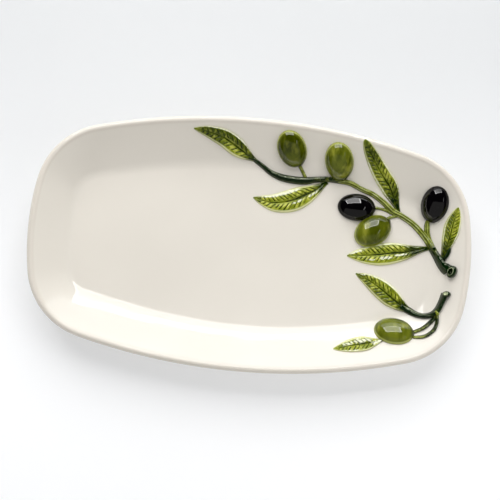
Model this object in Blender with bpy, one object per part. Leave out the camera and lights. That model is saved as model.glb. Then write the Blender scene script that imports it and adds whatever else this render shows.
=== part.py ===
"""Cream-glazed serving platter with two olive sprigs moulded in relief, in metres, +Z up."""
import math

import bmesh
import bpy
import numpy as np

MM = 0.001

# Rim outline, seen from above, in millimetres
HALF_LENGTH = 181.0
HALF_WIDTH = 104.0
LONG_SIDE_RADIUS = 514.0
SHORT_SIDE_RADIUS = 218.0
CORNER_RADIUS = 61.0

# Crease where the wall meets the well floor
WELL_HALF_LENGTH = 150.0
WELL_HALF_WIDTH = 68.0
WELL_LONG_RADIUS = 460.0
WELL_SHORT_RADIUS = 200.0
WELL_CORNER_RADIUS = 22.0

# Heights above the table
LIP_CENTRE_Z = 29.0
LIP_RADIUS = 3.0
LIP_LOWER_ANGLE = 43.0
FLOOR_Z = 9.0
FLOOR_RISE = 1.5
BASE_Z = 3.4
CREASE_BLEND = 2.0
WALL_BOW = 0.18
LEAF_HEIGHT = 2.3
SINK = 1.6

# Points of a quarter outline on the short side, the corner and the long side
SHORT_STEPS = 6
CORNER_STEPS = 8
LONG_STEPS = 8

# Leaves: midline from base to tip (x, y), greatest width, place of that width, power of the taper to the
# tip (smaller is blunter), tip height
LEAVES = {
    "leaf_upper_left": ([(-1, 71.5), (-10, 75.8), (-19.7, 81.1), (-29.8, 86.2), (-43, 89.6), (-55.3, 91.0)],
                        13.6, 0.37, 0.8, 0.8),
    "leaf_inner_left": ([(60, 59.5), (51, 52.2), (41, 46.0), (30, 40.8), (18, 38.1), (8, 38.9), (-1, 41.0)],
                        18.4, 0.48, 0.8, 1.0),
    "leaf_top": ([(122.6, 39.5), (118.6, 48.2), (115.5, 54.4), (111.8, 60.1), (107.2, 65.3), (102.7, 70.5),
                  (98.5, 75.9), (94.4, 81.3), (90.3, 86.8), (85.6, 93.8)],
                 13.2, 0.36, 0.45, 0.8),
    "leaf_middle": ([(150, 11.2), (141, 9.0), (131, 6.3), (119, 4.2), (105, 1.6), (93, 0.1), (81.5, -1)],
                    18.0, 0.55, 0.8, 1.0),
    "leaf_right": ([(159.6, 1.5), (161.2, 8.2), (162.4, 13.3), (163.4, 18.4), (164.4, 23.5), (165.0, 28.6),
                    (165.8, 33.7), (166.7, 38.8), (167.8, 45.0)],
                   10.8, 0.60, 0.7, 0.9),
    "leaf_low": ([(140, -44.2), (130.4, -39.4), (121.5, -33.6), (112.6, -27.2), (102.5, -21), (90, -15.3)],
                 16.0, 0.46, 0.8, 1.0),
    "leaf_bottom": ([(114, -69), (105, -71.7), (95, -73.9), (85, -76.6), (74, -79.6)],
                    11.2, 0.42, 0.8, 0.7),
}

# Olives: centre (x, y), half length, half width, turn of the long axis in degrees, bulge
OLIVES = {
    "olive_green_upper_left": (27.3, 83.2, 14.9, 11.4, -50.0, 8.4),
    "olive_green_upper_right": (67.8, 76.8, 14.8, 11.6, -62.0, 9.2),
    "olive_black_inner": (86.4, 40.5, 16.0, 11.5, 0.0, 9.2),
    "olive_green_middle": (101.6, 21.6, 16.8, 12.5, 36.0, 10.0),
    "olive_black_right": (151.1, 47.8, 14.7, 10.3, 95.0, 9.0),
    "olive_green_low": (123.9, -61.4, 16.2, 10.6, -1.0, 8.6),
}

# Twigs: points (x, y, half width, height)
TWIGS = {
    "stem_main": [(-4, 72.8, 1.3, 1.6), (5, 67.6, 1.6, 2.4), (10, 64.2, 1.9, 2.8), (15, 61.8, 2.3, 3.0),
                  (22, 59.8, 2.8, 3.3), (31, 58.8, 3.0, 3.4), (41, 58.9, 3.0, 3.5), (50, 60.6, 2.3, 3.3),
                  (60, 61.8, 2.0, 3.1), (70, 61.2, 1.9, 3.0), (80, 60.0, 1.9, 3.0), (90, 55.8, 1.9, 3.0),
                  (100, 52.3, 2.0, 3.1), (110, 45.8, 2.3, 3.2), (117, 40.0, 2.7, 3.4), (125, 36.4, 2.3, 3.3),
                  (134, 31.2, 2.4, 3.3), (141, 25.2, 2.5, 3.4), (147, 18.8, 2.6, 3.5), (151, 12.6, 2.5, 3.7),
                  (155.5, 5.0, 2.6, 3.9), (160, -2.5, 3.1, 4.3), (163.6, -6.2, 4.0, 4.9), (166.6, -8.6, 4.6, 5.4)],
    "stem_low": [(129, -39.6, 2.4, 2.2), (136, -42.6, 2.8, 2.8), (142, -45.2, 2.3, 3.2), (148, -46.2, 2.0, 3.3),
                 (153.8, -44.8, 2.1, 3.3), (157.8, -40.8, 2.1, 3.3), (160.4, -35, 2.0, 3.4),
                 (162.2, -29.6, 2.2, 3.9), (163.4, -26.4, 2.7, 4.6)],
    "stalk_upper_left": [(34, 72.5, 1.2, 2.2), (37.6, 67.6, 1.1, 2.0), (41.5, 61.5, 1.2, 2.4)],
    "stalk_black_inner": [(100, 41.2, 1.5, 2.4), (106, 41.1, 0.9, 1.8), (112, 39.8, 1.0, 1.9), (116, 38, 1.1, 2.2)],
    "stalk_middle": [(112.4, 31.6, 1.4, 2.4), (115.5, 34.3, 1.1, 2.0), (121, 36.2, 1.2, 2.4)],
    "leaflet_slit": [(147.4, 35, 1.2, 2.0), (147, 29, 2.0, 2.2), (147.8, 23.4, 1.8, 2.2), (150.6, 16.6, 1.3, 2.2),
                     (154.6, 9.4, 1.1, 2.2), (157, 5, 1.1, 2.4)],
    "leaflet_base": [(164.6, 12.2, 0.8, 1.4), (164.0, 9, 1.4, 2.0), (162.8, 5.4, 1.5, 2.3),
                     (160.6, 1.4, 1.2, 2.4)],
    "stalk_low_inner": [(156.2, -43.4, 1.4, 2.4), (155.4, -48, 1.2, 2.1), (151.6, -52.4, 1.2, 1.9),
                        (146.8, -56.6, 1.2, 1.9), (139.6, -60.4, 1.0, 1.8)],
    "stalk_low_outer": [(157.2, -42.6, 1.5, 2.4), (157.8, -49.6, 1.0, 2.0), (155.4, -56.6, 1.0, 1.8),
                        (150.4, -61.6, 1.0, 1.8), (145.4, -63.8, 1.1, 1.8), (138.8, -64.6, 0.9, 1.6)],
}


class Outline:
    """A rounded, barrel-sided rectangle made of three tangent arcs in each quarter."""

    def __init__(self, half_length, half_width, long_radius, short_radius, corner_radius):
        self.long_radius = long_radius
        self.short_radius = short_radius
        self.corner_radius = corner_radius
        self.long_centre = (0.0, half_width - long_radius)
        self.short_centre = (half_length - short_radius, 0.0)
        self.corner_centre = self.find_corner_centre()
        self.long_angle = self.angle_from(self.long_centre)
        self.short_angle = self.angle_from(self.short_centre)

    def find_corner_centre(self):
        """The point one corner radius inside both side arcs."""
        ax, ay = self.long_centre
        bx, by = self.short_centre
        gap = math.hypot(bx - ax, by - ay)
        ux, uy = (bx - ax) / gap, (by - ay) / gap
        reach_a = self.long_radius - self.corner_radius
        reach_b = self.short_radius - self.corner_radius
        along = (reach_a ** 2 - reach_b ** 2 + gap ** 2) / (2.0 * gap)
        across = math.sqrt(reach_a ** 2 - along ** 2)
        return (ax + along * ux + across * uy, ay + along * uy - across * ux)

    def angle_from(self, centre):
        dx = self.corner_centre[0] - centre[0]
        dy = self.corner_centre[1] - centre[1]
        return math.atan2(dy, dx)

    def inset(self, x, y):
        """Distance inward from the outline, negative outside it."""
        x, y = abs(x), abs(y)
        px, py = x - self.corner_centre[0], y - self.corner_centre[1]
        past_long = math.cos(self.long_angle) * py - math.sin(self.long_angle) * px <= 0.0
        past_short = math.cos(self.short_angle) * py - math.sin(self.short_angle) * px >= 0.0
        if past_long and past_short:
            return self.corner_radius - math.hypot(px, py)
        from_long = self.long_radius - math.hypot(x - self.long_centre[0], y - self.long_centre[1])
        from_short = self.short_radius - math.hypot(x - self.short_centre[0], y - self.short_centre[1])
        return min(from_long, from_short)

    def quarter(self, inset):
        """Points from the +X end round the corner to the +Y end."""
        arcs = [(self.short_centre, self.short_radius, 0.0, self.short_angle, SHORT_STEPS),
                (self.corner_centre, self.corner_radius, self.short_angle, self.long_angle, CORNER_STEPS),
                (self.long_centre, self.long_radius, self.long_angle, math.pi / 2.0, LONG_STEPS)]
        points = []
        for centre, radius, start, end, steps in arcs:
            for i in range(steps):
                angle = start + (end - start) * i / steps
                points.append((centre[0] + (radius - inset) * math.cos(angle),
                               centre[1] + (radius - inset) * math.sin(angle)))
        points.append((0.0, self.long_centre[1] + self.long_radius - inset))
        return points

    def ring(self, inset):
        """The whole outline, anticlockwise from +X."""
        one = self.quarter(inset)
        two = [(-x, y) for x, y in reversed(one[:-1])]
        three = [(-x, -y) for x, y in one[1:]]
        four = [(x, -y) for x, y in reversed(one[1:-1])]
        return np.array(one + two + three + four)


RIM = Outline(HALF_LENGTH, HALF_WIDTH, LONG_SIDE_RADIUS, SHORT_SIDE_RADIUS, CORNER_RADIUS)
WELL = Outline(WELL_HALF_LENGTH, WELL_HALF_WIDTH, WELL_LONG_RADIUS, WELL_SHORT_RADIUS, WELL_CORNER_RADIUS)

# The wall leaves the lip on a tangent at the lower lip angle
TANGENT = math.radians(LIP_LOWER_ANGLE)
LIP_INSET = LIP_RADIUS + LIP_RADIUS * math.sin(TANGENT)
WALL_TOP_Z = LIP_CENTRE_Z + LIP_RADIUS * math.cos(TANGENT)
OUTER_INSET = LIP_RADIUS - LIP_RADIUS * math.sin(TANGENT)
OUTER_TOP_Z = LIP_CENTRE_Z - LIP_RADIUS * math.cos(TANGENT)


def smooth_max(a, b, blend):
    """The larger value, with a rounded change-over."""
    near = max(blend - abs(a - b), 0.0) / blend
    return max(a, b) + near * near * blend / 4.0


def floor_height(x, y):
    """Near-flat well floor that rises gently towards its crease."""
    out = (abs(x / WELL_HALF_LENGTH) ** 3 + abs(y / WELL_HALF_WIDTH) ** 3) ** (1.0 / 3.0)
    rise = min(max((out - 0.62) / 0.38, 0.0), 1.2)
    return FLOOR_Z + FLOOR_RISE * rise * rise


def surface(x, y):
    """Height of the dish's upper surface over a point of the plan."""
    inset = RIM.inset(x, y)
    if inset < LIP_INSET:
        across = min(abs(LIP_RADIUS - inset), LIP_RADIUS)
        return LIP_CENTRE_Z + math.sqrt(LIP_RADIUS ** 2 - across ** 2)
    down = inset - LIP_INSET
    outside = -WELL.inset(x, y)
    floor = floor_height(x, y)
    if outside < -12.0:
        return floor
    part = down / (down + outside)
    fall = (1.0 - part) * (1.0 - WALL_BOW * part)
    wall = FLOOR_Z + FLOOR_RISE + (WALL_TOP_Z - FLOOR_Z - FLOOR_RISE) * fall
    return smooth_max(wall, floor, CREASE_BLEND)


def steepness(x, y):
    """How much a height has to grow, measured straight up, to keep its thickness on the slope."""
    step = 1.5
    dx = (surface(x + step, y) - surface(x - step, y)) / (2.0 * step)
    dy = (surface(x, y + step) - surface(x, y - step)) / (2.0 * step)
    return min(math.sqrt(1.0 + dx * dx + dy * dy), 1.4)


def smooth_path(points, steps):
    """Even samples of a smooth curve through the given points, of any dimension."""
    knots = np.array(points, dtype=float)
    ends = np.vstack([2 * knots[0] - knots[1], knots, 2 * knots[-1] - knots[-2]])
    dense = []
    for i in range(1, len(ends) - 2):
        p0, p1, p2, p3 = ends[i - 1:i + 3]
        for t in np.linspace(0.0, 1.0, 12, endpoint=False):
            dense.append(0.5 * (2 * p1 + (p2 - p0) * t + (2 * p0 - 5 * p1 + 4 * p2 - p3) * t ** 2
                                + (3 * p1 - p0 - 3 * p2 + p3) * t ** 3))
    dense.append(knots[-1])
    dense = np.array(dense)
    run = np.concatenate([[0.0], np.cumsum(np.hypot(*np.diff(dense[:, :2], axis=0).T))])
    want = np.linspace(0.0, run[-1], steps + 1)
    return np.array([np.interp(want, run, dense[:, k]) for k in range(dense.shape[1])]).T


def side_vectors(path):
    """Unit vectors to the left of a plan path."""
    ahead = np.gradient(path[:, :2], axis=0)
    ahead /= np.hypot(ahead[:, 0], ahead[:, 1])[:, None]
    return np.stack([-ahead[:, 1], ahead[:, 0]], axis=1)


def make_object(name, vertices, faces):
    mesh = bpy.data.meshes.new(name)
    mesh.from_pydata([tuple(float(c) * MM for c in v) for v in vertices], [], faces)
    mesh.update()
    item = bpy.data.objects.new(name, mesh)
    bpy.context.scene.collection.objects.link(item)
    return item


def loft(sections):
    """Vertices and faces of a closed body through equal rings of points, with flat ends."""
    count = len(sections[0])
    vertices = [point for section in sections for point in section]
    faces = []
    for i in range(len(sections) - 1):
        for j in range(count):
            k = (j + 1) % count
            faces.append((i * count + j, i * count + k, (i + 1) * count + k, (i + 1) * count + j))
    last = (len(sections) - 1) * count
    faces.append(tuple(reversed(range(count))))
    faces.append(tuple(last + j for j in range(count)))
    return vertices, faces


def strip_section(x, y, side, half_width, heights, grow):
    """A cross-section that follows the dish below it, from the left side over to the right."""
    places = np.linspace(1.0, -1.0, len(heights))
    top = []
    bottom = []
    for place, height in zip(places, heights):
        px, py = x + side[0] * half_width * place, y + side[1] * half_width * place
        level = surface(px, py)
        top.append((px, py, level + height * grow))
        if abs(place) == 1.0 or place == 0.0:
            bottom.append((px, py, level - SINK))
    return top + bottom[::-1]


def leaf_width(part, belly, fullness):
    """Lance-shaped width from base 0 to tip 1, as a share of the greatest width."""
    if part < belly:
        grown = part / belly
        return 0.16 + 0.84 * math.sin(0.5 * math.pi * grown) ** 1.5
    left = (1.0 - part) / (1.0 - belly)
    return max(math.sin(0.5 * math.pi * min(left, 1.0)) ** fullness, 0.06)


def make_leaf(name, points, width, belly, fullness, tip_height):
    path = smooth_path(points, 13)
    sides = side_vectors(path)
    sections = []
    for i, (x, y) in enumerate(path):
        part = i / (len(path) - 1)
        height = LEAF_HEIGHT + (tip_height - LEAF_HEIGHT) * part ** 3
        half = 0.5 * width * leaf_width(part, belly, fullness)
        heights = [0.8 * height, 1.05 * height, 0.75 * height, 1.05 * height, 0.8 * height]
        sections.append(strip_section(x, y, sides[i], half, heights, steepness(x, y)))
    return make_object(name, *loft(sections))


def make_twig(name, points):
    length = sum(math.dist(a[:2], b[:2]) for a, b in zip(points, points[1:]))
    path = smooth_path(points, max(3, round(length / 5.0)))
    sides = side_vectors(path)
    sections = []
    for side, (x, y, half, height) in zip(sides, path):
        heights = [0.25 * height, 0.8 * height, height, 0.8 * height, 0.25 * height]
        sections.append(strip_section(x, y, side, half, heights, steepness(x, y)))
    return make_object(name, *loft(sections))


def slope_at(x, y, reach):
    """Mean slope of the dish over an olive's footprint."""
    dx = (surface(x + reach, y) - surface(x - reach, y)) / (2.0 * reach)
    dy = (surface(x, y + reach) - surface(x, y - reach)) / (2.0 * reach)
    return dx, dy


def make_olive(name, cx, cy, half_length, half_width, turn, bulge):
    """A domed olive that stands square on the wall or floor below it, with a skirt into the clay."""
    dx, dy = slope_at(cx, cy, 0.7 * half_width)
    grow = math.sqrt(1.0 + dx * dx + dy * dy)
    base = surface(cx, cy)
    angle = math.radians(turn)
    around = 18
    levels = [(1.0, -3.4 * grow), (1.0, 0.0)]
    levels += [(math.cos(math.radians(a)), bulge * math.sin(math.radians(a))) for a in (20, 40, 58, 74)]
    vertices = []
    for size, lift in levels:
        for j in range(around):
            turned = 2.0 * math.pi * j / around
            u = size * half_length * math.cos(turned)
            v = size * half_width * math.sin(turned)
            x = u * math.cos(angle) - v * math.sin(angle)
            y = u * math.sin(angle) + v * math.cos(angle)
            out = max(lift, 0.0) / grow
            vertices.append((cx + x - out * dx, cy + y - out * dy, base + dx * x + dy * y + lift / grow))
    vertices.append((cx - bulge * dx / grow, cy - bulge * dy / grow, base + bulge / grow))
    faces = [tuple(reversed(range(around)))]
    for i in range(len(levels) - 1):
        for j in range(around):
            k = (j + 1) % around
            faces.append((i * around + j, i * around + k, (i + 1) * around + k, (i + 1) * around + j))
    last = (len(levels) - 1) * around
    faces += [(last + j, last + (j + 1) % around, len(vertices) - 1) for j in range(around)]
    return make_object(name, vertices, faces)


def lifted(ring, height=None):
    """A plan ring raised to a height, or onto the dish surface."""
    if height is None:
        return [(x, y, surface(x, y)) for x, y in ring]
    return [(x, y, height) for x, y in ring]


def upper_rings():
    """Rings of the upper side from the well's middle out to the lip."""
    crease = WELL.ring(0.0)
    rings = [lifted(crease * share) for share in (0.25, 0.5, 0.7, 0.84)]
    rings += [lifted(WELL.ring(inset)) for inset in (5.5, 2.5, 0.0, -3.0)]
    top = RIM.ring(LIP_INSET)
    rings += [lifted(top + (crease - top) * part) for part in (0.74, 0.5, 0.25)]
    for angle in (-LIP_LOWER_ANGLE, -12.0, 20.0, 54.0, 90.0):
        turn = math.radians(angle)
        ring = RIM.ring(LIP_RADIUS - LIP_RADIUS * math.sin(turn))
        rings.append(lifted(ring, LIP_CENTRE_Z + LIP_RADIUS * math.cos(turn)))
    return rings


def lower_rings():
    """Rings of the underside from the lip down to the foot ring and in to the base panel."""
    rings = [lifted(RIM.ring(0.3), LIP_CENTRE_Z - 1.3)]
    top = RIM.ring(OUTER_INSET)
    crease = WELL.ring(-3.4)
    for part in (0.0, 0.25, 0.5, 0.75, 1.0):
        fall = (1.0 - part) * (1.0 - WALL_BOW * part)
        rings.append(lifted(top + (crease - top) * part, 5.5 + (OUTER_TOP_Z - 5.5) * fall))
    foot = [(-0.8, 3.6), (0.4, 0.8), (1.3, 0.0), (6.5, 0.0), (7.4, 0.8), (9.0, BASE_Z)]
    rings += [lifted(WELL.ring(inset), height) for inset, height in foot]
    inner = WELL.ring(9.0)
    rings += [lifted(inner * share, BASE_Z) for share in (0.75, 0.4)]
    return rings


def make_dish():
    rings = upper_rings() + lower_rings()
    count = len(rings[0])
    vertices = [point for ring in rings for point in ring]
    top = len(vertices)
    vertices += [(0.0, 0.0, FLOOR_Z), (0.0, 0.0, BASE_Z)]
    last = (len(rings) - 1) * count
    faces = []
    for j in range(count):
        k = (j + 1) % count
        faces.append((top, j, k))
        faces.append((last + k, last + j, top + 1))
        for i in range(len(rings) - 1):
            faces.append((i * count + j, (i + 1) * count + j, (i + 1) * count + k, i * count + k))
    return make_object("platter", vertices, faces)


def face_outward(item):
    work = bmesh.new()
    work.from_mesh(item.data)
    bmesh.ops.recalc_face_normals(work, faces=work.faces)
    work.to_mesh(item.data)
    work.free()


def make_relief():
    items = [make_leaf(name, *values) for name, values in LEAVES.items()]
    items += [make_olive(name, *values) for name, values in OLIVES.items()]
    items += [make_twig(name, points) for name, points in TWIGS.items()]
    return items


def fuse(body, items):
    """Join the relief to the dish with one union, then drop the relief's own objects."""
    group = bpy.data.collections.new("relief")
    bpy.context.scene.collection.children.link(group)
    for item in items:
        face_outward(item)
        bpy.context.scene.collection.objects.unlink(item)
        group.objects.link(item)
    join = body.modifiers.new("relief", "BOOLEAN")
    join.operation = "UNION"
    join.operand_type = "COLLECTION"
    join.collection = group
    join.solver = "EXACT"
    bpy.context.view_layer.objects.active = body
    bpy.ops.object.modifier_apply(modifier=join.name)
    for item in items:
        bpy.data.objects.remove(item, do_unlink=True)
    bpy.data.collections.remove(group)


def tidy_mesh(item):
    """Merge points that the union left closer than a hundredth of a millimetre, and triangulate."""
    work = bmesh.new()
    work.from_mesh(item.data)
    bmesh.ops.remove_doubles(work, verts=work.verts, dist=0.02 * MM)
    bmesh.ops.dissolve_degenerate(work, edges=work.edges, dist=0.02 * MM)
    bmesh.ops.triangulate(work, faces=work.faces)
    bmesh.ops.recalc_face_normals(work, faces=work.faces)
    work.to_mesh(item.data)
    work.free()


def glaze():
    material = bpy.data.materials.new("cream_glaze")
    material.use_nodes = True
    shader = material.node_tree.nodes["Principled BSDF"]
    shader.inputs["Base Color"].default_value = (0.83, 0.78, 0.70, 1.0)
    shader.inputs["Roughness"].default_value = 0.18
    shader.inputs["Metallic"].default_value = 0.0
    return material


def main():
    for item in list(bpy.data.objects):
        bpy.data.objects.remove(item, do_unlink=True)
    platter = make_dish()
    face_outward(platter)
    fuse(platter, make_relief())
    tidy_mesh(platter)
    platter.data.materials.clear()
    platter.data.materials.append(glaze())
    platter.data.shade_smooth()
    platter.data.set_sharp_from_angle(angle=math.radians(40.0))


main()
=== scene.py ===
"""Cream-glazed serving platter with painted olive sprigs in relief, dressed on the CAD frame."""

import math

import bpy
import numpy as np
from mathutils import Matrix, Vector


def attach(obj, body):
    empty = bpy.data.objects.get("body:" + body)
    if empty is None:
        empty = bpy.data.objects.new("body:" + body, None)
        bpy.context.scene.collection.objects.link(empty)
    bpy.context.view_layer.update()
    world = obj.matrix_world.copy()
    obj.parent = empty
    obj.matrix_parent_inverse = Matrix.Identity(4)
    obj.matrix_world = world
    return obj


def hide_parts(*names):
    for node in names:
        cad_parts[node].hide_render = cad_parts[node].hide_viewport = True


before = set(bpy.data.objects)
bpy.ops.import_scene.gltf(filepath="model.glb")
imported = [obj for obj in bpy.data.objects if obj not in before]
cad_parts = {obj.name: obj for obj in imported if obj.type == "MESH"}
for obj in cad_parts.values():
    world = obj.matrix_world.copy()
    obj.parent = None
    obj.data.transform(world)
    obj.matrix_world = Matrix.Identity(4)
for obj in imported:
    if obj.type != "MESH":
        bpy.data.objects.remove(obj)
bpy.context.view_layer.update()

MM = 0.001

# Rim outline and crease outline, seen from above, in millimetres
RIM_SIZES = (181.0, 104.0, 514.0, 218.0, 61.0)
WELL_SIZES = (150.0, 68.0, 460.0, 200.0, 22.0)

# Heights above the table
LIP_CENTRE_Z = 29.0
LIP_RADIUS = 3.0
LIP_LOWER_ANGLE = math.radians(43.0)
FLOOR_Z = 9.0
FLOOR_RISE = 1.5
BASE_Z = 3.4
OUTER_WALL_FOOT_Z = 5.5
TABLE_GAP = 0.2

# Shape of the dish, in millimetres where it is a length
CREASE_BLEND = 2.0
WALL_BOW = 0.18
DEEP_IN_WELL = 12.0
OUTER_CREASE_INSET = -3.4
SLOPE_STEP = 1.5
MOST_GROWTH = 1.4
CLAY_WAVE = 0.07

# Section of the foot ring: inset from the well's outline, height above the table
FOOT_SECTION = [(-2.2, 4.6), (-1.2, 3.8), (-0.5, 2.9), (0.0, 1.9), (0.3, 1.0), (0.7, 0.4), (1.4, 0.05),
                (2.2, 0.0), (4.0, 0.0), (5.8, 0.0), (6.6, 0.05), (7.2, 0.4), (7.6, 1.0), (8.0, 2.0),
                (8.6, 3.0), (9.6, BASE_Z)]

# Relief: heights and depths in millimetres, and how finely each kind of piece is divided
LEAF_HEIGHT = 2.3
VEIN_DEPTH = 0.75
RIB_DEPTH = 0.45
LEAST_LIFT = 0.35
SINK = 1.3
LEAF_STEPS = 150
LEAF_COLUMNS = 51
TWIG_SPACING = 0.8
TWIG_COLUMNS = 27
OLIVE_POINTS = 96
OLIVE_SKIRT = 0.4
BUTTON_POINTS = 40

# Leaves: midline from base to tip (x, y), greatest width, place of that width, power of the taper to the
# tip (smaller is blunter), tip height
LEAVES = {
    "leaf_upper_left": ([(-1, 71.5), (-10, 75.8), (-19.7, 81.1), (-29.8, 86.2), (-43, 89.6), (-55.3, 91.0)],
                        13.6, 0.37, 0.8, 0.8),
    "leaf_inner_left": ([(60, 59.5), (51, 52.2), (41, 46.0), (30, 40.8), (18, 38.1), (8, 38.9), (-1, 41.0)],
                        18.4, 0.48, 0.8, 1.0),
    "leaf_top": ([(122.6, 39.5), (118.6, 48.2), (115.5, 54.4), (111.8, 60.1), (107.2, 65.3), (102.7, 70.5),
                  (98.5, 75.9), (94.4, 81.3), (90.3, 86.8), (85.6, 93.8)],
                 13.2, 0.36, 0.45, 0.8),
    "leaf_middle": ([(150, 11.2), (141, 9.0), (131, 6.3), (119, 4.2), (105, 1.6), (93, 0.1), (81.5, -1)],
                    18.0, 0.55, 0.8, 1.0),
    "leaf_right": ([(159.6, 1.5), (161.2, 8.2), (162.4, 13.3), (163.4, 18.4), (164.4, 23.5), (165.0, 28.6),
                    (165.8, 33.7), (166.7, 38.8), (167.8, 45.0)],
                   10.8, 0.60, 0.7, 0.9),
    "leaf_low": ([(140, -44.2), (130.4, -39.4), (121.5, -33.6), (112.6, -27.2), (102.5, -21), (90, -15.3)],
                 16.0, 0.46, 0.8, 1.0),
    "leaf_bottom": ([(114, -69), (105, -71.7), (95, -73.9), (85, -76.6), (74, -79.6)],
                    11.2, 0.42, 0.8, 0.7),
}

# Painting of each leaf: darkness of the left and right halves, place where the wash over the tip starts,
# reach of the dark base, spacing of the carved side veins
LEAF_PAINT = {
    "leaf_upper_left": (0.12, 0.70, 0.42, 0.30, 4.4),
    "leaf_inner_left": (0.12, 0.05, 0.80, 0.30, 4.0),
    "leaf_top": (0.45, 0.35, 0.55, 0.55, 3.9),
    "leaf_middle": (0.08, 0.10, 0.86, 0.52, 4.0),
    "leaf_right": (0.50, 0.00, 0.92, 0.62, 3.1),
    "leaf_low": (0.50, 0.40, 0.76, 0.46, 4.0),
    "leaf_bottom": (0.10, 0.20, 0.92, 0.12, 3.6),
}

# Painted highlights, pale patches where the glaze catches the light: place along and across, reach along and
# across, strength
LEAF_PAINTED_HIGHLIGHTS = {
    "leaf_upper_left": [(0.55, -0.93, 0.42, 0.12, 0.9)],
    "leaf_inner_left": [(0.64, -0.80, 0.30, 0.18, 1.0), (0.22, 0.36, 0.08, 0.16, 1.0),
                        (0.42, 0.30, 0.12, 0.12, 0.6)],
    "leaf_top": [(0.50, -0.93, 0.42, 0.10, 0.7), (0.50, 0.93, 0.38, 0.10, 0.7)],
    "leaf_middle": [(0.36, 0.28, 0.09, 0.12, 1.0), (0.54, 0.38, 0.08, 0.15, 1.0),
                    (0.71, 0.50, 0.07, 0.12, 0.7), (0.88, -0.70, 0.09, 0.22, 0.9),
                    (0.55, -0.93, 0.32, 0.08, 0.8)],
    "leaf_right": [(0.55, -0.92, 0.40, 0.12, 0.8), (0.60, 0.94, 0.30, 0.08, 0.6)],
    "leaf_low": [(0.50, -0.93, 0.46, 0.10, 0.9), (0.92, -0.70, 0.07, 0.30, 0.7),
                 (0.13, 0.45, 0.05, 0.25, 1.0)],
    "leaf_bottom": [(0.50, -0.50, 0.42, 0.46, 0.72), (0.12, 0.10, 0.12, 0.70, 0.8),
                    (0.60, 0.80, 0.30, 0.14, 0.6)],
}

# Olives: centre (x, y), half length, half width, turn towards the stem end in degrees, bulge,
# lightness of the glaze
OLIVES = {
    "olive_green_upper_left": (27.3, 83.2, 14.9, 11.4, -50.0, 8.4, 0.0),
    "olive_green_upper_right": (67.8, 76.8, 14.8, 11.6, -62.0, 9.2, 0.35),
    "olive_black_inner": (86.4, 40.5, 16.0, 11.5, 0.0, 9.2, 0.0),
    "olive_green_middle": (101.6, 21.6, 16.8, 12.5, 36.0, 10.0, 0.2),
    "olive_black_right": (151.1, 47.8, 14.7, 10.3, -85.0, 9.0, 0.0),
    "olive_green_low": (123.9, -61.4, 16.2, 10.6, -1.0, 8.6, 0.42),
}

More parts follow.
